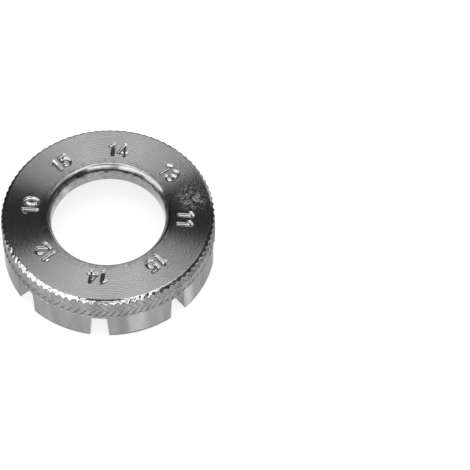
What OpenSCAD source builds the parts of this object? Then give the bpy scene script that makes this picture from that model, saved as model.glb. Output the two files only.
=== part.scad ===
// Round spoke wrench: a short ring with eight gauge slots cut into its underside,
// a herringbone knurl round its rim and a flat face that carries the gauge numbers.
// It stands on its eight jaw tips with the numbered face up. The origin is on the
// ring's axis at the jaw tips, and +Z runs up that axis. The front is -Y.
// The real wrench is one casting. Its regions are separate solids here that meet
// face to face: the ring of the face, the rim, and the jaws between the slots.

/* [Ring] */
// Outside diameter, over the knurl
ring_d = 42; // [38:0.5:50]
// Overall height, from the jaw tips to the numbered face
ring_h = 12; // [10:0.1:14]
// Thickness of the web above the slots
web_t = 5.4; // [4.5:0.1:6.5]
// Diameter of the hole in the middle
bore_d = 22.5; // [16:0.5:25]
// Chamfer round the hole on the numbered side
bore_face_chamfer = 1; // [0.4:0.1:1.6]
// Chamfer round the hole on the slotted side
bore_floor_chamfer = 1.4; // [0.4:0.1:2]
// Bevel between the numbered face and the rim
face_bevel = 0.8; // [0.5:0.1:1.1]
// Radial thickness of the rim band that carries the knurl
rim_t = 1.2; // [1:0.1:1.6]

/* [Knurl] */
// Number of teeth round the rim
knurl_teeth = 92; // [72:4:120]
// Depth of the grooves between the teeth
knurl_depth = 0.24; // [0.2:0.02:0.44]
// Height of the smooth band below the knurl
smooth_band_h = 0.3; // [0.2:0.1:1.2]
// Height over which each groove runs out above the smooth band
knurl_runout_h = 0.3; // [0.2:0.1:0.6]
// How far a tooth leans sideways from its end to the middle of the knurl
knurl_lean = 1.55; // [0.5:0.05:2]

/* [Slots] */
// Width of the 10 gauge slot at its floor
slot_10_w = 4.8; // [4.6:0.1:5.4]
// Width of the 11 gauge slot at its floor
slot_11_w = 4.3; // [4.1:0.1:4.8]
// Width of the 12 gauge slot at its floor
slot_12_w = 3.8; // [3.6:0.1:4.3]
// Width of the 13 gauge slot at its floor
slot_13_w = 3.4; // [3.2:0.1:3.8]
// Width of the two 14 gauge slots at their floors
slot_14_w = 3.1; // [3:0.1:3.6]
// Width of the two 15 gauge slots at their floors
slot_15_w = 3; // [2.8:0.1:3.4]
// Draft of each slot wall, in degrees
slot_draft = 2.8; // [2:0.2:6]

/* [Jaws] */
// Radial thickness of a jaw at its root
jaw_t = 4.8; // [4:0.1:5.5]
// Draft of the jaws' inner wall, in degrees
jaw_draft = 7; // [0:0.5:8]
// Radius of the upright corners on the inner side
jaw_corner_r = 1.1; // [0.5:0.1:1.4]
// Height of the lead-in that is cut across the slot ends of a tip
lead_in_h = 0.9; // [0.8:0.05:1.4]
// How far a tip's crown falls from its crest to its inner edge
crown_inner_drop = 0.7; // [0.3:0.05:0.9]
// How far a tip's crown falls from its crest to its outer edge
crown_outer_drop = 0.55; // [0.3:0.05:0.8]
// Distance of the crown's crest from the outer wall
crown_crest_inset = 2; // [1.5:0.1:2.6]

/* [Hidden] */
$fn = 128;

ring_r = ring_d / 2;
bore_r = bore_d / 2;
floor_z = ring_h - web_t;
rim_inner_r = ring_r - rim_t;
face_edge_r = ring_r - face_bevel;
metal = [0.72, 0.73, 0.74];
satin = [0.66, 0.67, 0.68];

// Slots clockwise from the back, seen from above, and the angle between neighbours
slot_widths = [slot_14_w, slot_13_w, slot_11_w, slot_15_w, slot_14_w, slot_12_w, slot_10_w, slot_15_w];
slot_step = 360 / len(slot_widths);
back_angle = 90;

// The ring of the numbered face, with the hole and its two chamfers
module number_ring() {
    color(metal) rotate_extrude() polygon([
        [bore_r, floor_z + bore_floor_chamfer],
        [bore_r + bore_floor_chamfer, floor_z],
        [rim_inner_r, floor_z],
        [rim_inner_r, ring_h],
        [bore_r + bore_face_chamfer, ring_h],
        [bore_r, ring_h - bore_face_chamfer]
    ]);
}

// Knurl: one tooth has four corners, given as shares of the pitch and of the depth.
// Teeth lean one way in the lower half and back in the upper half, like a herringbone.
tooth_pitch_shares = [0, 0.3, 0.55, 0.75];
tooth_depth_shares = [0, 0, 1, 1];
tooth_corners = len(tooth_pitch_shares);
rim_corners = knurl_teeth * tooth_corners;
knurl_low_z = floor_z + smooth_band_h;
knurl_high_z = ring_h - face_bevel;
knurl_mid_z = (knurl_low_z + knurl_high_z) / 2;
lean_angle = knurl_lean / ring_r * 180 / PI;
// The inner wall's corners stand just outside the number ring's true cylinder
rim_wall_r = rim_inner_r / cos(180 / rim_corners);

function tooth_angle(i, z) =
    (floor(i / tooth_corners) + tooth_pitch_shares[i % tooth_corners]) * 360 / knurl_teeth
    + lean_angle * (1 - abs(z - knurl_mid_z) / (knurl_high_z - knurl_mid_z));
function polar(r, angle, z) = [r * cos(angle), r * sin(angle), z];

// One ring of corners: depth is how much of the groove is cut there, and the top
// ring follows the bevel, so a groove runs further up it than a tooth does
function knurl_ring(z, depth_share) = [
    for (i = [0 : rim_corners - 1])
        let (cut = knurl_depth * depth_share * tooth_depth_shares[i % tooth_corners])
        polar(ring_r - cut, tooth_angle(i, z), z)
];
function bevel_ring() = [
    for (i = [0 : rim_corners - 1])
        let (cut = knurl_depth * tooth_depth_shares[i % tooth_corners])
        polar(ring_r - cut, tooth_angle(i, knurl_high_z + cut), knurl_high_z + cut)
];
function plain_ring(r, z, twist_z) = [
    for (i = [0 : rim_corners - 1]) polar(r, tooth_angle(i, twist_z), z)
];

// The rim: a band outside the number ring, with the knurl, the bevel and the smooth band
module knurled_rim() {
    rings = [
        plain_ring(ring_r, floor_z, knurl_low_z),
        knurl_ring(knurl_low_z, 0),
        knurl_ring(knurl_low_z + knurl_runout_h, 1),
        knurl_ring(knurl_mid_z, 1),
        bevel_ring(),
        plain_ring(face_edge_r, ring_h, knurl_high_z),
        plain_ring(rim_wall_r, ring_h, knurl_high_z),
        plain_ring(rim_wall_r, floor_z, knurl_low_z)
    ];
    color(metal) closed_band(rings);
}

// A band that joins each ring of corners to the next, and the last one to the first
module closed_band(rings) {
    n = len(rings[0]);
    m = len(rings);
    polyhedron(
        points = [for (ring = rings) each ring],
        faces = [
            for (k = [0 : m - 1])
                for (i = [0 : n - 1])
                    let (a = k * n + i, b = k * n + (i + 1) % n,
                         c = ((k + 1) % m) * n + (i + 1) % n, d = ((k + 1) % m) * n + i)
                    each [[a, c, b], [a, d, c]]
        ]
    );
}

// Jaws: a jaw is a grid of upright columns, in rows from its inner to its outer wall
// and along it from slot to slot. Each column runs from the web down to the crowned tip.
inner_rows = 8;
outer_rows = 6;
jaw_rows = inner_rows + outer_rows;
jaw_columns = 10;
jaw_root_r = ring_r - jaw_t;
// The least height of the lead-in that is left where the crown is low
least_lead_in = lead_in_h / 10;

function jaw_inner_r(z) = jaw_root_r + (floor_z - z) * tan(jaw_draft);
function slot_half_w(w, z) = w / 2 + (floor_z - z) * tan(slot_draft);

// Where a row lies across the tip: -1 is the inner wall, 0 the crest and 1 the outer wall.
// Rows lie closer together near both walls, where the corners and edges turn.
function row_place(row) =
    row < inner_rows ? -cos(90 * row / inner_rows) : sin(90 * (row - inner_rows) / outer_rows);
function row_r(row, z) =
    let (place = row_place(row), inner_width = ring_r - crown_crest_inset - jaw_inner_r(0),
         from_outer = crown_crest_inset - place * (place < 0 ? inner_width : crown_crest_inset),
         share = from_outer / (ring_r - jaw_inner_r(0)))
    ring_r - share * (ring_r - jaw_inner_r(z));

// Height of the crown over a row, measured from its crest
function crown_z(row) =
    (row < inner_rows ? crown_inner_drop : crown_outer_drop) * pow(row_place(row), 2);

// How far the rounded inner corner draws the slot wall back at a distance from the inner wall
function corner_inset(d) =
    d < jaw_corner_r ? jaw_corner_r - sqrt(pow(jaw_corner_r, 2) - pow(jaw_corner_r - d, 2)) : 0;

// Distance of a slot wall from the slot's own centre line
function wall_offset(w, row, z) = slot_half_w(w, z) + corner_inset(row_r(row, z) - jaw_inner_r(z));

// Angle from the middle of the jaw to a point that lies this far from a slot's centre line
function side_angle(offset, r) = slot_step / 2 - asin(offset / r);

// The tip's edge at one slot: first where the wall meets the lead-in, then where that meets the crown
function wall_top(w, row) =
    let (z = max(lead_in_h, crown_z(row) + least_lead_in), r = row_r(row, z))
    [r, side_angle(wall_offset(w, row, z), r), z];
function crown_edge(w, row) =
    let (z = crown_z(row), low = wall_top(w, row), r = row_r(row, z))
    [r, side_angle(wall_offset(w, row, low[2]) + low[2] - z, r), z];

// A column's tip, as radius, angle and height: the outer two columns on each side are the lead-ins
function tip(w_left, w_right, row, column) =
    let (left = crown_edge(w_left, row), right = crown_edge(w_right, row),
         share = (column - 1) / (jaw_columns - 2))
    column == 0 ? flipped(wall_top(w_left, row))
    : column == jaw_columns ? wall_top(w_right, row)
    : [left[0], -left[1] + share * (left[1] + right[1]), left[2]];
function flipped(p) = [p[0], -p[1], p[2]];

// A column's root on the web, at the same share of the way along the jaw
function root(w_left, w_right, row, column) =
    let (r = row_r(row, floor_z),
         left = -side_angle(wall_offset(w_left, row, floor_z), r),
         right = side_angle(wall_offset(w_right, row, floor_z), r))
    [r, left + (right - left) * column / jaw_columns, floor_z];

function placed(p, angle) = polar(p[0], p[1] + angle, p[2]);

// The jaw after slot number k, clockwise. Its left end, by angle, is at the next slot.
module jaw(k) {
    w_right = slot_widths[k];
    w_left = slot_widths[(k + 1) % len(slot_widths)];
    middle = back_angle - (k + 0.5) * slot_step;
    across = jaw_columns + 1;
    layer = (jaw_rows + 1) * across;
    color(satin) polyhedron(
        points = [
            for (row = [0 : jaw_rows])
                for (column = [0 : jaw_columns])
                    placed(tip(w_left, w_right, row, column), middle),
            for (row = [0 : jaw_rows])
                for (column = [0 : jaw_columns])
                    placed(root(w_left, w_right, row, column), middle)
        ],
        faces = [
            // Tip, with its crown and lead-ins
            for (row = [0 : jaw_rows - 1])
                for (column = [0 : jaw_columns - 1])
                    let (a = row * across + column)
                    each [[a, a + across + 1, a + 1], [a, a + across, a + across + 1]],
            // Two slot walls
            for (row = [0 : jaw_rows - 1])
                let (a = row * across, b = a + jaw_columns)
                each [[a, layer + a + across, a + across], [a, layer + a, layer + a + across],
                      [b, b + across, layer + b + across], [b, layer + b + across, layer + b]],
            // Inner and outer walls
            for (column = [0 : jaw_columns - 1])
                let (a = column, b = jaw_rows * across + column)
                each [[a, a + 1, layer + a + 1], [a, layer + a + 1, layer + a],
                      [b, layer + b + 1, b + 1], [b, layer + b, layer + b + 1]],
            // Root, flat on the web
            concat(
                [for (column = [0 : jaw_columns]) layer + column],
                [for (row = [1 : jaw_rows]) layer + row * across + jaw_columns],
                [for (column = [jaw_columns - 1 : -1 : 0]) layer + jaw_rows * across + column],
                [for (row = [jaw_rows - 1 : -1 : 1]) layer + row * across]
            )
        ]
    );
}

module jaw_14_13() { jaw(0); }
module jaw_13_11() { jaw(1); }
module jaw_11_15() { jaw(2); }
module jaw_15_14_front() { jaw(3); }
module jaw_14_12() { jaw(4); }
module jaw_12_10() { jaw(5); }
module jaw_10_15() { jaw(6); }
module jaw_15_14_back() { jaw(7); }

number_ring();
knurled_rim();
jaw_14_13();
jaw_13_11();
jaw_11_15();
jaw_15_14_front();
jaw_14_12();
jaw_12_10();
jaw_10_15();
jaw_15_14_back();
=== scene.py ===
import math
import bmesh
import bpy
import numpy as np
from mathutils import Matrix, Vector


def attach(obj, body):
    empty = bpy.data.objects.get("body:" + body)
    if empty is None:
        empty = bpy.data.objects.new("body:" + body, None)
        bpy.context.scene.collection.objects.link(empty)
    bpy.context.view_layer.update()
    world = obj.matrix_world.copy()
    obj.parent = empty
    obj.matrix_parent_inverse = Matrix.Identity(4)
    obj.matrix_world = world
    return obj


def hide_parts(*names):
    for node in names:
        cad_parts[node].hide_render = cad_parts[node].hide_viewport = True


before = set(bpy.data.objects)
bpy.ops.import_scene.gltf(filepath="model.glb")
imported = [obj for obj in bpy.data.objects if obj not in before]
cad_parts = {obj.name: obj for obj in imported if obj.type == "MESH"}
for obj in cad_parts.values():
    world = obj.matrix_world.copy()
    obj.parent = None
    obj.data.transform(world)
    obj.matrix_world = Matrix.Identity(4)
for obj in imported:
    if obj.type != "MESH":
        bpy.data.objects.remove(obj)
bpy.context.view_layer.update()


def polar(radius, degrees, z):
    """A point from its distance to the ring's axis, its azimuth and its height."""
    return (radius * math.cos(math.radians(degrees)), radius * math.sin(math.radians(degrees)), z)


# Lengths are in millimetres here and become metres when a mesh is made. Azimuths run
# anticlockwise from +X, seen from above. The numbered face is up and the jaws hang below.
MM, MM_PER_M = 0.001, 1000

# The ring's radius, its height, and the height of the web's underside
RING_R, RING_H, FLOOR_Z = 21.0, 12.0, 6.6
# The hole's radius, and its chamfers at the face and at the underside
BORE_R, FACE_CHAMFER, FLOOR_CHAMFER = 11.25, 1.0, 1.4
# The bevel between face and rim runs at 45 degrees, from this height up
BEVEL, BEVEL_SLOPE = 0.8, 45
BEVEL_Z = RING_H - BEVEL
# Where the rim meets the web
RIM_INNER_R = 19.8
# The knurl: its teeth, how deep its grooves are, how far they lean over at mid height,
# where they end above the smooth band, and the height over which they run out
TEETH, DEPTH, LEAN = 92, 0.24, 1.55
KNURL_LOW, RUNOUT = 6.93, 0.2
# The jaws: inner radius at the root, depth of the lead-ins, inner corner radius, distance
# of the crest from the outside, and the draft of the slot walls and of the inner wall
JAW_ROOT_R, LEAD_IN, CORNER_R, CREST_INSET, SLOT_DRAFT, JAW_DRAFT = 16.2, 0.9, 1.1, 2.0, 2.8, 7
# Gauge and width of each slot, clockwise from the back
SLOTS = [("14", 3.1), ("13", 3.4), ("11", 4.3), ("15", 3.0),
         ("14", 3.1), ("12", 3.8), ("10", 4.8), ("15", 3.0)]
SLOT_PITCH, FIRST_SLOT = 45, 90
# Each jaw is named after the slots beside it, in the same order
JAWS = ["jaw_14_13", "jaw_13_11", "jaw_11_15", "jaw_15_14_front",
        "jaw_14_12", "jaw_12_10", "jaw_10_15", "jaw_15_14_back"]
# The photographed ring stands turned by this much, so the camera goes round the other way.
TURN = math.radians(3.5)
# Azimuth of the side where the bevel is most uneven
LUMP_MIDDLE = -106
# A flatter place on the bevel at the front: its middle, half its width, its slope, the
# radius where it starts, and how far it blends in before and after its edge
FLAT_MIDDLE, FLAT_HALF, FLAT_SLOPE, FLAT_START = -86.1, 9.5, 34.5, 20.05
FLAT_BLEND = (-1, 1.5)
FLAT_POINT = polar(20.3, FLAT_MIDDLE, 11.85)


# ---------------------------------------------------------------- helpers
def slot_azimuth(k):
    """Azimuth of a slot's middle. Half numbers are the jaws between two slots."""
    return FIRST_SLOT - SLOT_PITCH * k


def add_object(name, data):
    o = bpy.data.objects.new(name, data)
    bpy.context.scene.collection.objects.link(o)
    return o


def quads_of(index, wrap_rows=False, wrap_cols=False):
    """Quads over a grid of vertex numbers."""
    a = index
    if wrap_rows:
        a = np.vstack([a, a[:1]])
    if wrap_cols:
        a = np.hstack([a, a[:, :1]])
    return np.stack([a[:-1, :-1], a[:-1, 1:], a[1:, 1:], a[1:, :-1]], -1).reshape(-1, 4)


def smoothstep(x, lo, hi):
    t = np.clip((x - lo) / (hi - lo), 0, 1)
    return t * t * (3 - 2 * t)


def soft_max(a, b, k):
    """The larger of two values, rounded over a width k where they cross."""
    h = np.clip(0.5 + 0.5 * (a - b) / k, 0, 1)
    return b + (a - b) * h + k * h * (1 - h)


def arc_sag(radius, distance):
    """How far a fillet of this radius lies off its corner's side, this far from the end."""
    if distance >= radius:
        return 0.0
    return radius - math.sqrt(radius ** 2 - (radius - distance) ** 2)


def piece(name, verts, quads, materials, node, sharp, pick=None):
    """A closed mesh that replaces one CAD node and rides on the only body.

    Edges up to sharp degrees are shaded smooth. pick gives the material's number for a
    face, from its centre in millimetres and its normal.
    """
    me = bpy.data.meshes.new(name)
    me.vertices.add(len(verts))
    me.vertices.foreach_set("co", (np.asarray(verts, float) * MM).astype(np.float32).ravel())
    me.loops.add(quads.size)
    me.loops.foreach_set("vertex_index", quads.astype(np.int32).ravel())
    me.polygons.add(len(quads))
    me.polygons.foreach_set("loop_start", np.arange(0, quads.size, 4, dtype=np.int32))
    me.update(calc_edges=True)
    me.validate()
    bm = bmesh.new()
    bm.from_mesh(me)
    bmesh.ops.remove_doubles(bm, verts=bm.verts, dist=1e-7)
    bmesh.ops.recalc_face_normals(bm, faces=bm.faces)
    limit = math.radians(sharp)
    for e in bm.edges:
        e.smooth = len(e.link_faces) != 2 or e.calc_face_angle(0.0) < limit
    for f in bm.faces:
        f.smooth = True
        if pick:
            f.material_index = pick(f.calc_center_median() * MM_PER_M, f.normal)
    bm.to_mesh(me)
    bm.free()
    o = add_object(name, me)
    for m in materials:
        me.materials.append(m)
    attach(o, "root")
    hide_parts(node)


# ---------------------------------------------------------------- material nodes
def cleared_tree(owner):
    """The node tree of a new material or world, with no nodes."""
    owner.use_nodes = True
    owner.node_tree.nodes.clear()
    return owner.node_tree


def new_metal(name, level, roughness, anisotropic=0.0):
    m = bpy.data.materials.new(name)
    t = cleared_tree(m)
    out = t.nodes.new("ShaderNodeOutputMaterial")
    p = t.nodes.new("ShaderNodeBsdfPrincipled")
    t.links.new(p.outputs[0], out.inputs[0])
    p.inputs["Base Color"].default_value = (level, level, level, 1)
    p.inputs["Metallic"].default_value = 1.0
    p.inputs["Roughness"].default_value = roughness
    p.inputs["Anisotropic"].default_value = anisotropic
    return m, t, p


def math_node(t, op, a, b=None):
    n = t.nodes.new("ShaderNodeMath")
    n.operation = op
    for i, v in enumerate((a, b)):
        if v is None:
            continue
        if isinstance(v, (int, float)):
            n.inputs[i].default_value = v
        else:
            t.links.new(v, n.inputs[i])
    return n.outputs[0]


def plus(t, a, b):
    return math_node(t, "ADD", a, b)


def minus(t, a, b):
    return math_node(t, "SUBTRACT", a, b)


def times(t, a, b):
    return math_node(t, "MULTIPLY", a, b)


def vector_node(t, op, vector, other):
    n = t.nodes.new("ShaderNodeVectorMath")
    n.operation = op
    t.links.new(vector, n.inputs[0])
    n.inputs[1].default_value = other
    return n


def coords_mm(t):
    """Object coordinates in millimetres, the height, and the distance from the ring's axis."""
    tc = t.nodes.new("ShaderNodeTexCoord")
    v = t.nodes.new("ShaderNodeVectorMath")
    v.operation = "SCALE"
    v.inputs["Scale"].default_value = MM_PER_M
    t.links.new(tc.outputs["Object"], v.inputs[0])
    s = t.nodes.new("ShaderNodeSeparateXYZ")
    t.links.new(v.outputs[0], s.inputs[0])
    x, y, z = s.outputs
    return v.outputs[0], z, math_node(t, "SQRT", plus(t, times(t, x, x), times(t, y, y)))


def noise(t, source, scale, detail=2.0, rough=0.5, along_value=False):
    """Noise over a vector, or along a single value."""
    n = t.nodes.new("ShaderNodeTexNoise")
    n.noise_dimensions = "1D" if along_value else "3D"
    n.inputs["Scale"].default_value = scale
    n.inputs["Detail"].default_value = detail
    n.inputs["Roughness"].default_value = rough
    t.links.new(source, n.inputs["W" if along_value else "Vector"])
    return n.outputs[0]


def ramp(t, value, low, high, from_lo=0.3, from_hi=0.7):
    n = t.nodes.new("ShaderNodeMapRange")
    t.links.new(value, n.inputs["Value"])
    for k, v in (("From Min", from_lo), ("From Max", from_hi), ("To Min", low), ("To Max", high)):
        n.inputs[k].default_value = v
    return n.outputs[0]


def band(t, value, start, full, hold, end):
    """One from full to hold, and zero before start and after end."""
    return times(t, ramp(t, value, 0.0, 1.0, start, full), ramp(t, value, 1.0, 0.0, hold, end))


def near_point(t, vector, point, inside, outside):
    """One within a distance of a point in millimetres, falling to zero further out."""
    distance = vector_node(t, "DISTANCE", vector, point)
    return ramp(t, distance.outputs["Value"], 1.0, 0.0, inside, outside)


def grey(t, value):
    n = t.nodes.new("ShaderNodeCombineColor")
    for i in range(3):
        t.links.new(value, n.inputs[i])
    return n.outputs[0]


def bump(t, p, height, strength, distance_mm, after=None):
    n = t.nodes.new("ShaderNodeBump")
    n.inputs["Strength"].default_value = strength
    n.inputs["Distance"].default_value = distance_mm * MM
    t.links.new(height, n.inputs["Height"])
    if after is not None:
        t.links.new(after, n.inputs["Normal"])
    t.links.new(n.outputs[0], p.inputs["Normal"])
    return n.outputs[0]


# ---------------------------------------------------------------- materials
# Distance from one facing cut on the numbered face to the next
FEED = 0.4
# The rubbed patch beside the 11: its middle, and from where to where it fades
PATCH_POINT, PATCH_FADE = (16.2, 4.8, RING_H), (1.0, 4.4)
# Radii between which the worn band along the face's inner edge fades
WORN_FADE = (12.4, 13.8)
# Heights between which the hole's wall has stains
STAIN_HEIGHTS = (9.6, 10.7, 10.8, 11.5)
# Painted shade in the hole's upper corner on the right, a dark reflection painted into the colour:
# its middle, from where to where it fades, and the radii between which it starts on the chamfer
HOLE_SHADE_POINT, HOLE_SHADE_FADE, HOLE_SHADE_RADII = polar(12.2, -12, RING_H), (4.0, 6.5), (11.9, 12.08)
# The plating on the flatter place of the bevel is smooth: from where to where that fades
# sideways, and how far under the face it does
SMOOTH_FADE, SMOOTH_DROPS = (3.0, 4.2), (0.42, 0.34)
# Painted upright reflection streaks are noise that is drawn out along the height, and start above the
# tips
REFLECTION_STREAK_STRETCH, REFLECTION_STREAK_START = (0.3, 0.3, 0.05), (0.7, 1.4)
# Painted shade along the jaws' outer lower edge, and in the lower ends of the knurl's grooves
EDGE_SHADE_RADII, EDGE_SHADE_HEIGHTS = (20.7, 20.95), (0.85, 1.15)
GROOVE_SHADE_RADII, GROOVE_SHADE_HEIGHTS = (20.82, 20.95), (6.9, 7.0, 7.1, 7.5)


def turned_material():
    """The face: fine rings about the axis, a few deeper ones, and light wear."""
    m, t, p = new_metal("turned", 0.32, 0.38, anisotropic=1.0)
    v, _, r = coords_mm(t)
    tangent = t.nodes.new("ShaderNodeTangent")
    tangent.direction_type, tangent.axis = "RADIAL", "Z"
    t.links.new(tangent.outputs[0], p.inputs["Tangent"])
    p.inputs["Anisotropic Rotation"].default_value = 0.25
    feed = math_node(t, "SINE", times(t, r, 2 * math.pi / FEED))
    rings = noise(t, r, 5.0, 5.0, rough=0.75, along_value=True)
    ringed = bump(t, p, plus(t, feed, rings), 0.8, 0.026)
    blotches = ramp(t, noise(t, v, 0.9, 3.0), 0.0, 1.0, 0.42, 0.58)
    patch = times(t, near_point(t, v, PATCH_POINT, *PATCH_FADE), blotches)
    grit = times(t, noise(t, v, 3.4, 3.0, rough=0.7), patch)
    bump(t, p, grit, 0.75, 0.115, after=ringed)
    rubbed = times(t, patch, ramp(t, noise(t, v, 2.8, 2.0), -0.16, 0.04, 0.42, 0.6))
    worn = times(t, ramp(t, r, 1.0, 0.0, *WORN_FADE),
                 ramp(t, noise(t, v, 1.4, 3.0), 0.0, 0.14, 0.42, 0.62))
    shade = minus(t, ramp(t, rings, 0.305, 0.335), plus(t, rubbed, worn))
    shade = plus(t, shade, times(t, feed, 0.025))
    t.links.new(grey(t, shade), p.inputs["Base Color"])
    t.links.new(ramp(t, noise(t, v, 0.25, 3.0), 0.32, 0.37), p.inputs["Roughness"])
    return m


def bore_material():
    """The hole's wall: turned, with marks that run round it, stains, and painted shade in its upper
    corner on the right.
    """
    m, t, p = new_metal("bored", 0.3, 0.18)
    v, z, r = coords_mm(t)
    marks = bump(t, p, noise(t, z, 4.0, 4.0, rough=0.7, along_value=True), 0.35, 0.02)
    bump(t, p, noise(t, v, 0.35, 1.0), 0.4, 0.06, after=marks)
    stain = times(t, band(t, z, *STAIN_HEIGHTS), ramp(t, noise(t, v, 0.8, 3.0), 0.0, 0.2, 0.5, 0.62))
    # Painted shade: a dark reflection painted into the hole's upper corner on the right
    painted_hole_shade = times(t, near_point(t, v, HOLE_SHADE_POINT, *HOLE_SHADE_FADE), ramp(t, r, 0.0, 0.24, *HOLE_SHADE_RADII))
    shade = ramp(t, noise(t, v, 0.9, 3.0), 0.25, 0.35)
    t.links.new(grey(t, minus(t, minus(t, shade, stain), painted_hole_shade)), p.inputs["Base Color"])
    return m


def plated_material(name, shades, roughness, wave, grain, tint=0.6, detail=3.0, bevel=False):
    """Plating over a casting: a slow ripple, a fine grain, uneven brightness, painted upright reflection
    streaks, and painted shade along the jaws' outer lower edge and in the knurl's groove ends.

    shades are the darkest and the lightest grey, wave and grain the strength and depth of
    ripple and grain, tint the edge tint, and detail the ripple's. On the bevel the ripple
    fades towards the back and on the flatter place.
    """
    m, t, p = new_metal(name, shades[1], roughness)
    p.inputs["Specular Tint"].default_value = (tint, tint, tint, 1)
    v, z, r = coords_mm(t)
    ripple = noise(t, v, 0.55, detail)
    if bevel:
        towards = vector_node(t, "DOT_PRODUCT", v, polar(1, LUMP_MIDDLE, 0)).outputs["Value"]
        ripple = times(t, ripple, ramp(t, math_node(t, "DIVIDE", towards, r), 0.15, 1.0, 0.3, 0.9))
        flat = times(t, near_point(t, v, FLAT_POINT, *SMOOTH_FADE),
                     ramp(t, z, 0.0, 0.95, *(RING_H - drop for drop in SMOOTH_DROPS)))
        ripple = times(t, ripple, minus(t, 1.0, flat))
    rippled = bump(t, p, ripple, *wave)
    bump(t, p, noise(t, v, 3.5, 4.0, rough=0.65), *grain, after=rippled)

    # Painted reflection: upright streaks in the colour that stand for soft highlights on the walls
    stretched = vector_node(t, "MULTIPLY", v, REFLECTION_STREAK_STRETCH).outputs[0]
    reflection_streak = ramp(t, noise(t, stretched, 1.0, 2.0), 0.86, 1.26, 0.35, 0.65)
    reflection_streak = plus(t, 1.0, times(t, minus(t, reflection_streak, 1.0), ramp(t, z, 0.0, 1.0, *REFLECTION_STREAK_START)))
    shade = ramp(t, noise(t, v, 1.3, 4.0), *shades)
    # Painted shade: a dark line along the jaws' outer lower edge, standing for a dark reflection
    edge_shade = times(t, ramp(t, r, 0.0, 0.5, *EDGE_SHADE_RADII),
                      ramp(t, z, 1.0, 0.0, *EDGE_SHADE_HEIGHTS))
    # Painted shade: dark spots in the lower ends of the knurl's grooves
    groove_shade = times(t, ramp(t, r, 0.55, 0.0, *GROOVE_SHADE_RADII),
                        band(t, z, *GROOVE_SHADE_HEIGHTS))
    # Both painted shades together, taken off the colour
    painted_shade = plus(t, edge_shade, groove_shade)
    shade = times(t, times(t, shade, reflection_streak), minus(t, 1.0, painted_shade))
    t.links.new(grey(t, shade), p.inputs["Base Color"])
    uneven = ramp(t, noise(t, v, 2.1, 3.0), roughness * 0.8, roughness * 1.3)
    t.links.new(uneven, p.inputs["Roughness"])
    return m


turned = turned_material()
bored = bore_material()
stamped = plated_material("plated_figures", (0.42, 0.5), 0.14, (0.3, 0.03), (0.2, 0.015))
knurled = plated_material("plated_knurl", (0.29, 0.39), 0.33, (0.3, 0.08), (0.8, 0.07), tint=0.5)
satin = plated_material("plated_casting", (0.32, 0.34), 0.15, (0.3, 0.05), (0.05, 0.004))
bevelled = plated_material("plated_bevel", (0.28, 0.5), 0.12, (1.0, 0.34), (0.35, 0.04),
                           tint=0.2, detail=2.0, bevel=True)
cast = plated_material("cast_floor", (0.26, 0.36), 0.34, (0.6, 0.14), (0.5, 0.05))


# ---------------------------------------------------------------- numbered ring
def arc(cx, cy, rx, ry, start, end, n=14):
    return [(cx + rx * math.cos(math.radians(start + (end - start) * i / n)),
             cy + ry * math.sin(math.radians(start + (end - start) * i / n))) for i in range(n + 1)]


# Strokes of each figure in a box one wide and one high, centred on its middle
GLYPHS = {
    "0": [arc(0, 0, 0.42, 0.46, 0, 360, 28)],
    "1": [[(0.12, -0.48), (0.12, 0.48), (-0.24, 0.3)]],
    "2": [arc(0, 0.2, 0.4, 0.28, 170, -20) + [(-0.42, -0.47), (0.45, -0.47)]],
    "3": [arc(-0.04, 0.235, 0.38, 0.235, 150, -90) + arc(-0.04, -0.24, 0.44, 0.24, 90, -150)],
    "4": [[(0.2, -0.48), (0.2, 0.48), (-0.42, -0.22), (0.46, -0.22)]],
    "5": [[(0.4, 0.47), (-0.28, 0.47), (-0.34, 0.04)] + arc(-0.02, -0.14, 0.42, 0.32, 130, -140)],
}
# Size of a figure and the gap between two; the radius of the numbers' circle, its turn
# against the slots in degrees, and its shift towards the back
FIG_W, FIG_H, FIG_GAP = 1.8, 2.75, 0.35
NUMBER_R, NUMBER_TURN, NUMBER_SHIFT = 15.3, 1.9, 0.33
# A stroke's depth, and the distances from its middle where its wall starts and ends
STROKE_DEPTH, STROKE_FLOOR, STROKE_EDGE = 0.34, 0.14, 0.46
# Half the width and half the height of the place that a number's strokes can reach
NUMBER_WINDOW = (2.6, 2.3)
# Farther than any stroke's wall, and the distance under which two points are the same
FAR, SAME_POINT = 9.0, 1e-5
# What lies outside this radius, down to this depth, is the face or a stroke, and a face's
# centre this close to the web's top or underside belongs to it
STAMPED_R, STAMPED_DEPTH = 12.3, 0.6
ON_TOP, ON_UNDERSIDE = 0.03, 0.02

# Azimuths of the grid: fine steps this many degrees either side of a number, then coarse
FINE_HALF, FINE_STEP, COARSE_STEPS = 12, 0.27, 17
# Section: radii on the underside; radius and height over it on the lower chamfer; how far
# the wall's rows stay from the chamfers, and their number; radius and depth under the
# face on the upper chamfer with its rounded corners; radii on the face
UNDERSIDE = (19.8, 19, 18, 17, 16, 15, 14, 13.2, 12.82, 12.7)
LOWER_CHAMFER = ((12.62, 0.03), (12.4, 0.25), (12.0, 0.65), (11.6, 1.05), (11.33, 1.32), (11.27, 1.4))
WALL_OFF_LOWER, WALL_OFF_UPPER, WALL_ROWS = 0.1, 0.45, 6
UPPER_CHAMFER = ((11.27, 1.33), (11.31, 1.19), (11.38, 1.04), (11.47, 0.88), (11.58, 0.73),
                 (11.72, 0.55), (11.87, 0.36), (12.075, 0.176), (12.146, 0.115),
                 (12.227, 0.065), (12.314, 0.029), (12.405, 0.007), (12.499, 0.0))
FACE = (12.62, 12.9, *np.arange(13.1, 17.61, 0.07), 17.8, 18.2, 18.7, 19.2, 19.8)
FACE_START_R = 12.6


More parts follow.
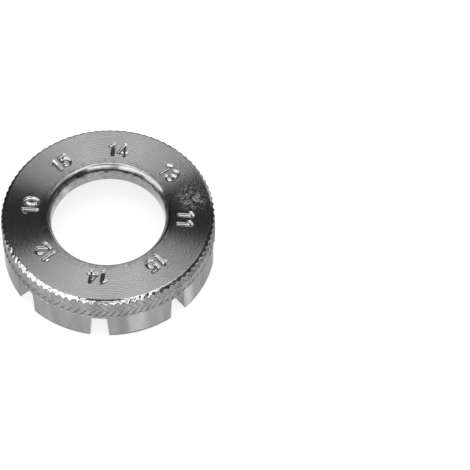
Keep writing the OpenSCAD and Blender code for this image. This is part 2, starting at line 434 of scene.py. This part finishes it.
def stroke_distance(x, y, text):
    """Distance from points to the nearest stroke of a two-figure number."""
    best = np.full(x.shape, FAR)
    for i, figure in enumerate(text):
        cx = (i - 0.5) * (FIG_W + FIG_GAP)
        for line in GLYPHS[figure]:
            pts = [(cx + px * FIG_W, py * FIG_H) for px, py in line]
            for (ax, ay), (bx, by) in zip(pts, pts[1:]):
                dx, dy = bx - ax, by - ay
                if math.hypot(dx, dy) < SAME_POINT:
                    continue
                s = np.clip(((x - ax) * dx + (y - ay) * dy) / (dx * dx + dy * dy), 0, 1)
                best = np.minimum(best, np.hypot(x - ax - s * dx, y - ay - s * dy))
    return best


def number_ring():
    """The web: its face with the stamped numbers, its underside and the hole."""
    angles = []
    for k in range(len(SLOTS)):
        middle = slot_azimuth(k) - NUMBER_TURN
        fine_end, next_fine = middle + FINE_HALF, middle + SLOT_PITCH - FINE_HALF
        angles += list(np.arange(middle - FINE_HALF, fine_end, FINE_STEP))
        angles += list(np.linspace(fine_end, next_fine, COARSE_STEPS + 1)[:-1])
    phi = np.radians(np.sort(np.unique(np.round(np.mod(angles, 360), 5))))
    wall = np.linspace(FLOOR_Z + FLOOR_CHAMFER + WALL_OFF_LOWER,
                       RING_H - FACE_CHAMFER - WALL_OFF_UPPER, WALL_ROWS)
    section = [(r, FLOOR_Z) for r in UNDERSIDE]
    section += [(r, FLOOR_Z + d) for r, d in LOWER_CHAMFER]
    section += [(BORE_R, z) for z in wall]
    section += [(r, RING_H - d) for r, d in UPPER_CHAMFER]
    section += [(r, RING_H) for r in FACE]
    section = np.array(section)
    r, z = section[:, :1], section[:, 1:]
    x, y = r * np.cos(phi), r * np.sin(phi)
    z = np.repeat(z, len(phi), 1)
    on_face = (r > FACE_START_R) & (z > RING_H - 0.001)
    for k, (text, _) in enumerate(SLOTS):
        a = math.radians(slot_azimuth(k) - NUMBER_TURN)
        across = x * math.sin(a) - (y - NUMBER_SHIFT) * math.cos(a)
        upright = x * math.cos(a) + (y - NUMBER_SHIFT) * math.sin(a) - NUMBER_R
        near = on_face & (np.abs(across) < NUMBER_WINDOW[0]) & (np.abs(upright) < NUMBER_WINDOW[1])
        d = stroke_distance(across[near], upright[near], text)
        z[near] -= STROKE_DEPTH * (1 - smoothstep(d, STROKE_FLOOR, STROKE_EDGE))
    verts = np.stack([x, y, z], -1).reshape(-1, 3)
    index = np.arange(len(verts)).reshape(x.shape)
    materials = [turned, bored, cast, stamped]

    def pick(centre, _):
        if centre.z > RING_H - STAMPED_DEPTH and math.hypot(centre.x, centre.y) > STAMPED_R:
            return materials.index(turned if centre.z > RING_H - ON_TOP else stamped)
        return materials.index(cast if centre.z < FLOOR_Z + ON_UNDERSIDE else bored)

    piece("number_face", verts, quads_of(index, True, True), materials,
          "number_ring", sharp=60, pick=pick)


# ---------------------------------------------------------------- knurled rim
# The uneven metal on the bevel: its depth, its share of that at the back, and its waves as
# the number round the ring, the change with height and the phase
LUMP_DEPTH, LUMP_BACK_SHARE = 0.12, 0.2
LUMP_WAVES = ((57, 3.1, 0.4), (83, -4.7, 2.1), (118, 6.3, 4.4), (139, -2.2, 5.2))
# The rounded edge where the bevel meets the face: its radius, how far down it reaches, the
# distance from the axis where it starts, and its rows as degrees round it
EDGE_ROUND = 0.6
EDGE_ROUND_DROP = EDGE_ROUND * (1 - math.cos(math.radians(BEVEL_SLOPE)))
EDGE_ROUND_R = RING_R - BEVEL - EDGE_ROUND * math.tan(math.radians(BEVEL_SLOPE / 2))
EDGE_ROUND_STEPS = (45, 36, 27, 18, 9, 0)
# Places across one tooth as shares of the pitch, and where its groove falls and rises
TOOTH_SHARES = np.array([0, 0.08, 0.16, 0.24, 0.31, 0.38, 0.46, 0.54, 0.61, 0.7, 0.77, 0.84, 0.92])
GROOVE_MIDDLE, GROOVE_FALL, GROOVE_RISE = 0.62, (0.06, 0.6), (0.64, 1.04)
# The leaning stops this far over the bevel's foot, so that the teeth stay straight above
LEAN_OVER = 0.35
# Width over which groove and bevel blend
BEVEL_BLEND = 0.06
# Radii of the rings inside the bevel on the face, and outside the web on the underside
FACE_RING_R, UNDERSIDE_RING_R = 19.88, 20.4
# How far a normal has to point up or down for a face to be level, bevel or underside
LEVEL_UP, BEVEL_UP, UNDERSIDE_UP = 0.9, 0.45, -0.5


def lumps(azimuth, z):
    """Uneven metal where the knurl's teeth run out over the bevel, as a depth: less at the back."""
    angle = np.radians(azimuth)
    facing = smoothstep(np.cos(angle - math.radians(LUMP_MIDDLE)), 0.3, 0.9)
    share = LUMP_BACK_SHARE + (1 - LUMP_BACK_SHARE) * facing
    value = 0.5 + sum(np.sin(k * angle + m * z + phase) for k, m, phase in LUMP_WAVES) / 8
    window = smoothstep(z, BEVEL_Z - 0.05, BEVEL_Z + 0.12) * (1 - smoothstep(z, RING_H - 0.12, RING_H))
    return LUMP_DEPTH * share * value * window


def rim_heights(mid):
    """Heights of the rim's rows: close together where the grooves end, turn or meet the bevel."""
    heights = [FLOOR_Z, FLOOR_Z + 0.15, KNURL_LOW - 0.03]
    heights += [KNURL_LOW + RUNOUT * s for s in (0, 0.2, 0.4, 0.7, 1)]
    heights += list(np.linspace(KNURL_LOW + RUNOUT, mid - 0.15, 6)[1:])
    heights += [mid - 0.05, mid, mid + 0.05]
    heights += list(np.linspace(mid + 0.15, BEVEL_Z - 0.1, 6))
    heights += [BEVEL_Z - 0.02, BEVEL_Z + 0.04]
    heights += list(np.linspace(BEVEL_Z + 0.1, RING_H - 0.24, 6))
    heights += [RING_H - EDGE_ROUND * (1 - math.cos(math.radians(t))) for t in EDGE_ROUND_STEPS]
    return heights


def knurled_rim():
    """The outer band: herringbone knurl, smooth band below it and bevel above."""
    groove = np.where(TOOTH_SHARES < GROOVE_MIDDLE, smoothstep(TOOTH_SHARES, *GROOVE_FALL),
                      1 - smoothstep(TOOTH_SHARES, *GROOVE_RISE))
    groove = np.tile(groove, TEETH)
    tooth = np.repeat(np.arange(TEETH), len(TOOTH_SHARES)) + np.tile(TOOTH_SHARES, TEETH)
    azimuth = tooth * 360 / TEETH
    away = np.abs((azimuth - FLAT_MIDDLE + 180) % 360 - 180)
    flat_share = 1 - smoothstep(away, *(FLAT_HALF + b for b in FLAT_BLEND))
    mid = (KNURL_LOW + BEVEL_Z) / 2
    rows = []
    for z in rim_heights(mid):
        drop, bevel_r = RING_H - z, RING_R - (z - BEVEL_Z)
        r = RING_R - DEPTH * smoothstep(z, KNURL_LOW, KNURL_LOW + RUNOUT) * groove
        if z > BEVEL_Z - 0.1:
            r = -soft_max(-r, np.full_like(r, -bevel_r), BEVEL_BLEND) - lumps(azimuth, z)
        if drop < EDGE_ROUND_DROP + 1e-9:
            edge = EDGE_ROUND_R + math.sqrt(max(EDGE_ROUND ** 2 - (EDGE_ROUND - drop) ** 2, 0.0))
            r = np.full_like(r, edge) - lumps(azimuth, z)
        flat_r = FLAT_START + drop / math.tan(math.radians(FLAT_SLOPE))
        if flat_r < bevel_r:
            r = r * (1 - flat_share) + flat_r * flat_share
        leaning = abs(min(max(z, KNURL_LOW), BEVEL_Z + LEAN_OVER) - mid) / (BEVEL_Z - mid)
        rows.append((np.minimum(r, RING_R), z, math.degrees(LEAN / RING_R) * (1 - leaning)))
    level = np.full(len(tooth), 1.0)
    first_lean, last_lean = rows[0][2], rows[-1][2]
    rows += [(level * FACE_RING_R, RING_H, last_lean), (level * RIM_INNER_R, RING_H, last_lean),
             (level * RIM_INNER_R, FLOOR_Z, first_lean), (level * UNDERSIDE_RING_R, FLOOR_Z, first_lean)]
    verts = []
    for r, z, lean in rows:
        a = np.radians(azimuth + lean)
        verts.append(np.stack([r * np.cos(a), r * np.sin(a), np.full_like(a, z)], -1))
    verts = np.array(verts)
    index = np.arange(verts.shape[0] * verts.shape[1]).reshape(verts.shape[:2])
    materials = [knurled, satin, turned, cast, bevelled]

    def pick(centre, normal):
        if normal.z > LEVEL_UP and centre.z > RING_H - 0.05:
            return materials.index(turned)
        if centre.z < FLOOR_Z + 0.01 and normal.z < UNDERSIDE_UP:
            return materials.index(cast)
        if centre.z > BEVEL_Z and normal.z > BEVEL_UP:
            return materials.index(bevelled)
        return materials.index(satin if centre.z < KNURL_LOW - 0.04 else knurled)

    piece("knurl_band", verts.reshape(-1, 3), quads_of(index, True, True), materials,
          "knurled_rim", sharp=60, pick=pick)


# ---------------------------------------------------------------- jaws
# Rows from the crest to the inner and to the outer wall
INNER_ROWS, OUTER_ROWS = 14, 12
# How far the crown drops from the crest to the inner and to the outer wall
INNER_DROP, OUTER_DROP = 0.7, 0.55
# Fillet at the root, and the radius of the outer lower edge
ROOT_FILLET, EDGE_R = 0.35, 0.28
# Distances from a slot wall to the columns beside it, and the number of columns between
LEAD_STEPS = np.array([0, 0.06, 0.16, 0.3, 0.45, 0.6, 0.74, 0.84, 0.92, 1.05, 1.3])
MIDDLE_COLUMNS = 14
# Widths over which crown and lead-in blend, at a slot wall and across the tip
WALL_BLEND, TIP_BLEND = 0.06, 0.1
# Heights of the rows up the walls, as shares of the way from tip to root
WALL_SHARES = (0.08, 0.3, 0.55, 0.8, 0.93, 0.955, 0.975, 0.99, 1.0)


def root_fillet(z):
    return arc_sag(ROOT_FILLET, max(FLOOR_Z - z, 0.0))


def inner_r(z):
    return JAW_ROOT_R + (FLOOR_Z - z) * math.tan(math.radians(JAW_DRAFT)) - root_fillet(z)


def half_slot(width, z):
    return width / 2 + (FLOOR_Z - z) * math.tan(math.radians(SLOT_DRAFT)) - root_fillet(z)


def row_share(p):
    """How far in from the outer wall a row lies, as a share of the jaw's width at the tip."""
    width = RING_R - inner_r(0.0)
    return (CREST_INSET - p * (width - CREST_INSET if p < 0 else CREST_INSET)) / width


def wall_point(slot_width, p, z):
    """Radius of a row and its angle from the jaw's middle, where it meets a slot wall."""
    r = RING_R - row_share(p) * (RING_R - inner_r(z))
    inset = arc_sag(CORNER_R, max(r - inner_r(z), 0.0))
    return r, math.radians(SLOT_PITCH / 2) - math.asin((half_slot(slot_width, z) + inset) / r)


def jaw(k):
    """A jaw between two slots: a grid over its tip, one at its root, and rows round its walls.

    Rows run from -1 at the inner wall over 0 at the crest to 1 at the outer wall. Columns
    run from the slot on the left to the slot on the right, seen from outside.
    """
    right, left = SLOTS[k][1], SLOTS[(k + 1) % len(SLOTS)][1]
    middle = math.radians(slot_azimuth(k + 0.5))
    places = [-math.cos(math.pi / 2 * i / INNER_ROWS) for i in range(INNER_ROWS)]
    places += [math.sin(math.pi / 2 * i / OUTER_ROWS) for i in range(OUTER_ROWS + 1)]
    tip = []
    for p in places:
        crown = (INNER_DROP if p < 0 else OUTER_DROP) * p * p
        if p > 0:
            crown += arc_sag(EDGE_R, (1 - p) * CREST_INSET)
        wall_z = float(soft_max(crown, LEAD_IN, WALL_BLEND))
        r, to_left = wall_point(left, p, wall_z)
        r, to_right = wall_point(right, p, wall_z)
        span = (to_left + to_right) * r
        between = np.linspace(LEAD_STEPS[-1], span - LEAD_STEPS[-1], MIDDLE_COLUMNS + 2)[1:-1]
        along = np.concatenate([LEAD_STEPS, between, (span - LEAD_STEPS)[::-1]])
        z = soft_max(np.full_like(along, crown), LEAD_IN - np.minimum(along, span - along), TIP_BLEND)
        z[0] = z[-1] = wall_z
        a = middle - to_left + along / r
        tip.append(np.stack([r * np.cos(a), r * np.sin(a), z], -1))
    tip = np.array(tip)
    rows, cols = tip.shape[:2]
    # The grid's border, once round
    border = [(0, c) for c in range(cols)] + [(i, cols - 1) for i in range(1, rows)]
    border += [(rows - 1, c) for c in range(cols - 2, -1, -1)] + [(i, 0) for i in range(rows - 2, 0, -1)]

    def bearing(point):
        return math.remainder(math.atan2(point[1], point[0]) - middle, 2 * math.pi)

    def wall_vertex(i, c, share):
        low = tip[i, c, 2]
        z = low + (FLOOR_Z - low) * share
        if c in (0, cols - 1) and share < 1:
            r, a = wall_point(left if c == 0 else right, places[i], z)
            a = -a if c == 0 else a
        else:
            r, to_left = wall_point(left, places[i], z)
            r, to_right = wall_point(right, places[i], z)
            start = bearing(tip[i, 0])
            part, whole = bearing(tip[i, c]) - start, bearing(tip[i, -1]) - start
            a = -to_left + (to_left + to_right) * part / whole
        return r * math.cos(middle + a), r * math.sin(middle + a), z

    loops = [[wall_vertex(i, c, share) for i, c in border] for share in WALL_SHARES]
    root = []
    for p in places:
        r, to_left = wall_point(left, p, FLOOR_Z)
        r, to_right = wall_point(right, p, FLOOR_Z)
        a = middle - to_left + (to_left + to_right) * np.linspace(0, 1, cols)
        root.append(np.stack([r * np.cos(a), r * np.sin(a), np.full(cols, FLOOR_Z)], -1))
    root = np.array(root)
    for (i, c), point in zip(border, loops[-1]):
        root[i, c] = point
    walls = loops[:-1]
    verts = np.concatenate([tip.reshape(-1, 3), np.array(walls).reshape(-1, 3), root.reshape(-1, 3)])
    tip_index = np.arange(rows * cols).reshape(rows, cols)
    wall_index = rows * cols + np.arange(len(walls) * len(border)).reshape(len(walls), len(border))
    root_index = tip_index + rows * cols + wall_index.size
    bands = np.vstack([[tip_index[i, c] for i, c in border], wall_index,
                       [root_index[i, c] for i, c in border]])
    quads = np.concatenate([quads_of(tip_index), quads_of(bands, wrap_cols=True), quads_of(root_index)])
    piece(JAWS[k] + "_shell", verts, quads, [satin], JAWS[k], sharp=34)


number_ring()
knurled_rim()
for number in range(len(JAWS)):
    jaw(number)

# ---------------------------------------------------------------- camera
# Fitted to the photographed ring: elevation, distance in ring radii, roll, focal length in
# pixels of a picture 470 pixels wide, and the place of the ring's axis beside the point
# that the camera aims at, in ring radii.
PHOTO_PX, SENSOR_MM = 470, 36.0
CAMERA_ELEVATION, CAMERA_DISTANCE, CAMERA_ROLL = math.radians(55.491), 27.5307, math.radians(0.401)
FOCAL_PX, CAMERA_CENTRE = 2888.4, Vector((-1.1884, -0.1636, 0))
back = Vector((0, -math.cos(CAMERA_ELEVATION), math.sin(CAMERA_ELEVATION)))
right = Vector((1, 0, 0))
up = back.cross(right)
rolled_right = right * math.cos(CAMERA_ROLL) + up * math.sin(CAMERA_ROLL)
rolled_up = up * math.cos(CAMERA_ROLL) - right * math.sin(CAMERA_ROLL)
spin = Matrix.Rotation(TURN, 3, "Z")
place = spin @ (back * CAMERA_DISTANCE - CAMERA_CENTRE) * (RING_R * MM)
axes = Matrix((spin @ rolled_right, spin @ rolled_up, spin @ back)).transposed()
camera_data = bpy.data.cameras.new("camera")
camera = add_object("camera", camera_data)
camera.matrix_world = Matrix.Translation(place) @ axes.to_4x4()
camera_data.sensor_width = SENSOR_MM
camera_data.lens = FOCAL_PX / PHOTO_PX * SENSOR_MM
camera_data.clip_start, camera_data.clip_end = 0.01, 50
bpy.context.scene.camera = camera


# ---------------------------------------------------------------- floor and world
FLOOR_SIZE, FLOOR_LEVEL, FLOOR_GLOW = 6, 0.4, 0.78
# The world is one where it is seen, and this bright as a light
WORLD_LIGHT = 0.55


def seen(t):
    """One for rays from the camera, or in a reflection or through glass."""
    path = t.nodes.new("ShaderNodeLightPath")
    direct = plus(t, path.outputs["Is Camera Ray"], path.outputs["Is Glossy Ray"])
    return math_node(t, "MINIMUM", plus(t, direct, path.outputs["Is Transmission Ray"]), 1.0)


def floor_material():
    """Pale where it is seen, clear to reflections and from below, and it keeps the shadow."""
    m = bpy.data.materials.new("pale_floor")
    t = cleared_tree(m)
    out = t.nodes.new("ShaderNodeOutputMaterial")
    diffuse = t.nodes.new("ShaderNodeBsdfDiffuse")
    diffuse.inputs[0].default_value = (FLOOR_LEVEL, FLOOR_LEVEL, FLOOR_LEVEL, 1)
    glow = t.nodes.new("ShaderNodeEmission")
    t.links.new(times(t, seen(t), FLOOR_GLOW), glow.inputs["Strength"])
    both = t.nodes.new("ShaderNodeAddShader")
    t.links.new(diffuse.outputs[0], both.inputs[0])
    t.links.new(glow.outputs[0], both.inputs[1])
    side = t.nodes.new("ShaderNodeNewGeometry")
    path = t.nodes.new("ShaderNodeLightPath")
    clear = t.nodes.new("ShaderNodeBsdfTransparent")
    mix = t.nodes.new("ShaderNodeMixShader")
    hidden = math_node(t, "MAXIMUM", side.outputs["Backfacing"], path.outputs["Is Glossy Ray"])
    t.links.new(hidden, mix.inputs[0])
    t.links.new(both.outputs[0], mix.inputs[1])
    t.links.new(clear.outputs[0], mix.inputs[2])
    t.links.new(mix.outputs[0], out.inputs[0])
    return m


def staged_mesh(name, verts, faces, material):
    """A mesh that isn't part of the object."""
    me = bpy.data.meshes.new(name)
    me.from_pydata([tuple(map(float, p)) for p in verts], [], faces)
    me.materials.append(material)
    o = add_object(name, me)
    return o


edge = FLOOR_SIZE / 2
corners = [(-edge, -edge, 0), (edge, -edge, 0), (edge, edge, 0), (-edge, edge, 0)]
staged_mesh("floor", corners, [(0, 1, 2, 3)], floor_material())

world = bpy.data.worlds.new("studio")
bpy.context.scene.world = world
world_tree = cleared_tree(world)
world_out = world_tree.nodes.new("ShaderNodeOutputWorld")
world_back = world_tree.nodes.new("ShaderNodeBackground")
world_back.inputs[0].default_value = (1, 1, 1, 1)
world_level = plus(world_tree, times(world_tree, seen(world_tree), 1 - WORLD_LIGHT), WORLD_LIGHT)
world_tree.links.new(world_level, world_back.inputs[1])
world_tree.links.new(world_back.outputs[0], world_out.inputs[0])

# ---------------------------------------------------------------- studio cards
# The cards stand on a dome of this radius in metres, and their azimuths turn with the camera.
DOME_R, CARD_STEPS = 1.6, 24
# The arch over the ring is turned by this many degrees, and has this many points along it
ARCH_TURN, ARCH_POINTS = math.radians(4.5), 33


def dome_point(radius, azimuth, elevation):
    a, e = math.radians(azimuth) + TURN, math.radians(elevation)
    return (radius * math.cos(e) * math.cos(a), radius * math.cos(e) * math.sin(a), radius * math.sin(e))


def reflector(name, level, rows):
    """A card that only reflections see, over three rows of points."""
    n = len(rows[0])
    index = quads_of(np.arange(len(rows) * n).reshape(len(rows), n))
    m = bpy.data.materials.new(name)
    t = cleared_tree(m)
    out = t.nodes.new("ShaderNodeOutputMaterial")
    glow = t.nodes.new("ShaderNodeEmission")
    glow.inputs[0].default_value = (level, level, level, 1)
    t.links.new(glow.outputs[0], out.inputs[0])
    o = staged_mesh(name, [p for row in rows for p in row], index.tolist(), m)
    o.visible_camera = o.visible_diffuse = o.visible_shadow = o.visible_transmission = False


def card(name, level, azimuths, low, high, radius=DOME_R):
    """A strip of the dome between two azimuths and two elevations."""
    first, last = azimuths
    around = [first + (last - first) * i / CARD_STEPS for i in range(CARD_STEPS + 1)]
    rows = [[dome_point(radius, a, e) for a in around] for e in (low, (low + high) / 2, high)]
    reflector(name, level, rows)


def arch(name, level, half_width, spread, tilts, radius=DOME_R):
    """A strip of the dome where the face's cuts mirror the camera when they tilt sideways."""
    tilt = np.radians(np.linspace(*tilts, ARCH_POINTS))
    rows = []
    for side in (-1, 0, 1):
        lean = math.radians(side * spread)
        along = math.cos(CAMERA_ELEVATION) * math.cos(lean)
        rest = math.hypot(math.cos(CAMERA_ELEVATION) * math.sin(lean), math.sin(CAMERA_ELEVATION))
        out = rest * np.sin(2 * tilt)
        x = out * math.cos(lean) - along * math.sin(lean)
        y = out * math.sin(lean) + along * math.cos(lean)
        z = rest * np.cos(2 * tilt)
        a = np.arctan2(y, x) + TURN + ARCH_TURN
        e = np.arcsin(z) + math.radians(side * half_width)
        rows.append(np.stack([radius * np.cos(e) * np.cos(a), radius * np.cos(e) * np.sin(a),
                              radius * np.sin(e)], -1))
    reflector(name, level, rows)


arch("card_arch", 0.07, 15, 0, (-44, 44))
arch("card_wing_right", 0.06, 0, 27, (6, 44), radius=1.62)
arch("card_wing_left", 0.06, 0, 27, (-44, -6), radius=1.62)
card("card_horizon_front", 0.06, (-150, -36), 0, 19)
# Under the floor, for the jaws and the slotted side
card("card_under_low", 1.3, (10, 170), -26, -12)
card("card_under_ring", 0.08, (5, 132), -44, -30)
card("card_under_top", 0.3, (0, 122), -82, -70)
card("card_under_front", 1.35, (-70, -48), -62, -49)
card("card_under_right", 1.8, (-2, 12), -62, -49)
# Dark ones, for the dark stretches of bevel, chamfer and knurl
card("card_right", 0.08, (-34, 14), 5, 30)
card("card_right_mid", 0.07, (-57, -34), 10, 36)
card("card_right_edge", 0.05, (14, 44), -7, 6)
card("card_left_edge", 0.05, (112, 160), -22, 7)
card("card_camera", 0.02, (-112, -69), 46, 66, radius=1.5)
# Bright ones, for the shine on bevel and knurl, and a grey one between them
card("card_right_high", 3.5, (-60, -26), 38, 47)
card("card_high_front", 0.4, (-155, -70), 43, 58)
card("card_low_front_left", 3.0, (-150, -107), 16, 43)
card("card_low_front_right", 3.5, (-93, -58), 24, 38)
card("card_low_left", 2.5, (172, 210), 9, 38)

# ---------------------------------------------------------------- lamp
LAMP_SIZE, LAMP_WATTS = 1.2, 8.0
LAMP_DISTANCE, LAMP_AZIMUTH, LAMP_ELEVATION = 1.2, -90, 86
lamp_data = bpy.data.lights.new("soft_top", "AREA")
lamp_data.shape, lamp_data.size, lamp_data.size_y = "RECTANGLE", LAMP_SIZE, LAMP_SIZE
lamp_data.energy = LAMP_WATTS
lamp = add_object("soft_top", lamp_data)
lamp.location = dome_point(LAMP_DISTANCE, LAMP_AZIMUTH, LAMP_ELEVATION)
lamp.rotation_euler = Vector(lamp.location).to_track_quat("Z", "Y").to_euler()

bpy.context.scene.view_settings.view_transform = "Standard"
